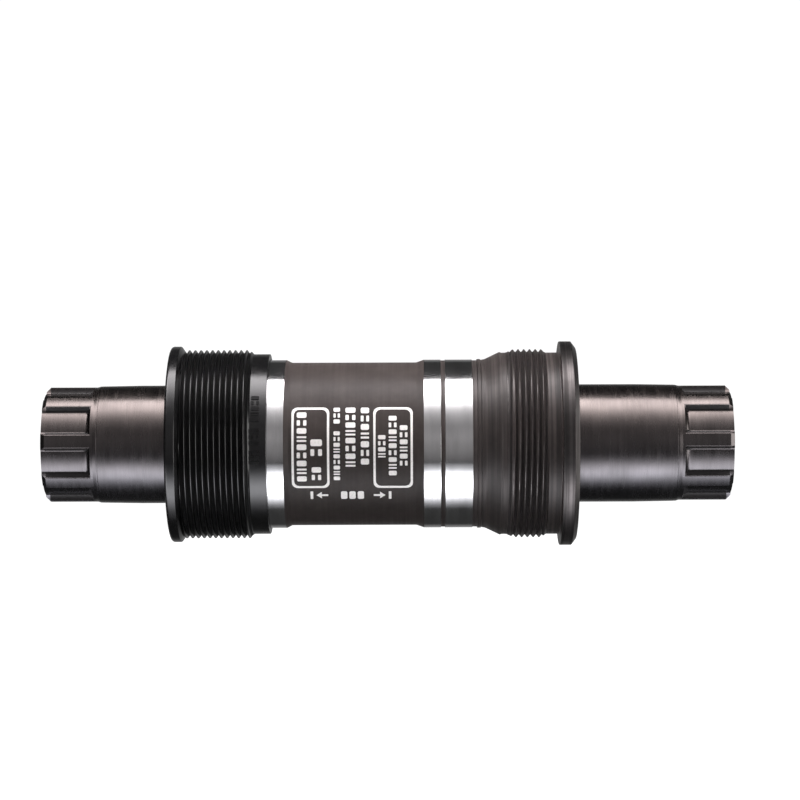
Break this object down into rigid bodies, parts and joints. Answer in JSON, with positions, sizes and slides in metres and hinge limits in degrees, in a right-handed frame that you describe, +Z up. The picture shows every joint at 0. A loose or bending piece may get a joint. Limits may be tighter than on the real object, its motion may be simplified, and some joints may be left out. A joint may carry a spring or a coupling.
{
  "type": "bottom bracket",
  "caption": "Sealed cartridge bottom bracket: hollow splined spindle turning in two ball bearings inside a sleeve, with a flanged threaded cup and a slip-on threaded adapter cup.",
  "frame": {"origin": "on the spindle's axis, midway between the two faces of the bicycle frame's 68 mm shell", "axes": "+X along the spindle towards the drive side, +Z up, -Y towards the viewer of the picture"},
  "size_m": [0.126, 0.0376, 0.0376],
  "materials": {
    "spindle_steel": "dark ground steel, brushed round the axis",
    "sleeve_steel": "dark phosphate coat with bright ground seats",
    "cup_steel": "dark phosphate coat, satin, one bright ground band",
    "adapter_resin": "semi-gloss black resin",
    "bearing_steel": "ground and hardened",
    "polished_balls": "polished",
    "cage_nylon": "moulded nylon",
    "seal_case_steel": "pressed sheet steel, dark",
    "seal_rubber": "matt black rubber",
    "spacer_steel": "drawn tube",
    "ring_steel": "blackened spring steel"
  },
  "bodies": {
    "cartridge": {"center_sleeve": "sleeve_steel", "drive_side_cup": "cup_steel", "left_outer_race": "bearing_steel", "right_outer_race": "bearing_steel", "left_bearing_seal_outboard": "seal_rubber", "left_bearing_seal_inboard": "seal_rubber", "right_bearing_seal_outboard": "seal_rubber", "right_bearing_seal_inboard": "seal_rubber", "left_seal_carrier": "seal_case_steel", "right_seal_carrier": "seal_case_steel", "left_lip_seal": "seal_rubber", "right_lip_seal": "seal_rubber"},
    "spindle": {"spindle": "spindle_steel", "left_inner_race": "bearing_steel", "right_inner_race": "bearing_steel", "inner_spacer": "spacer_steel", "left_retaining_ring": "ring_steel", "right_retaining_ring": "ring_steel"},
    "left_ball_train": {"left_bearing_balls": "polished_balls", "left_ball_cage": "cage_nylon"},
    "right_ball_train": {"right_bearing_balls": "polished_balls", "right_ball_cage": "cage_nylon"},
    "left_adapter": {"left_adapter_cup": "adapter_resin"}
  },
  "joints": [
    {"name": "spindle_spin", "type": "hinge", "parent": "cartridge", "child": "spindle", "pos_m": [0, 0, 0], "axis": [1, 0, 0], "continuous": true},
    {"name": "left_ball_orbit", "type": "hinge", "parent": "cartridge", "child": "left_ball_train", "pos_m": [-0.0238, 0, 0], "axis": [1, 0, 0], "continuous": true},
    {"name": "right_ball_orbit", "type": "hinge", "parent": "cartridge", "child": "right_ball_train", "pos_m": [0.0215, 0, 0], "axis": [1, 0, 0], "continuous": true},
    {"name": "left_adapter_slide", "type": "slide", "parent": "cartridge", "child": "left_adapter", "axis": [-1, 0, 0], "range_m": [0, 0.045]}
  ],
  "couplings": [
    {"joint": "left_ball_orbit", "follows": "spindle_spin", "ratio": 0.4529},
    {"joint": "right_ball_orbit", "follows": "spindle_spin", "ratio": 0.4529}
  ]
}
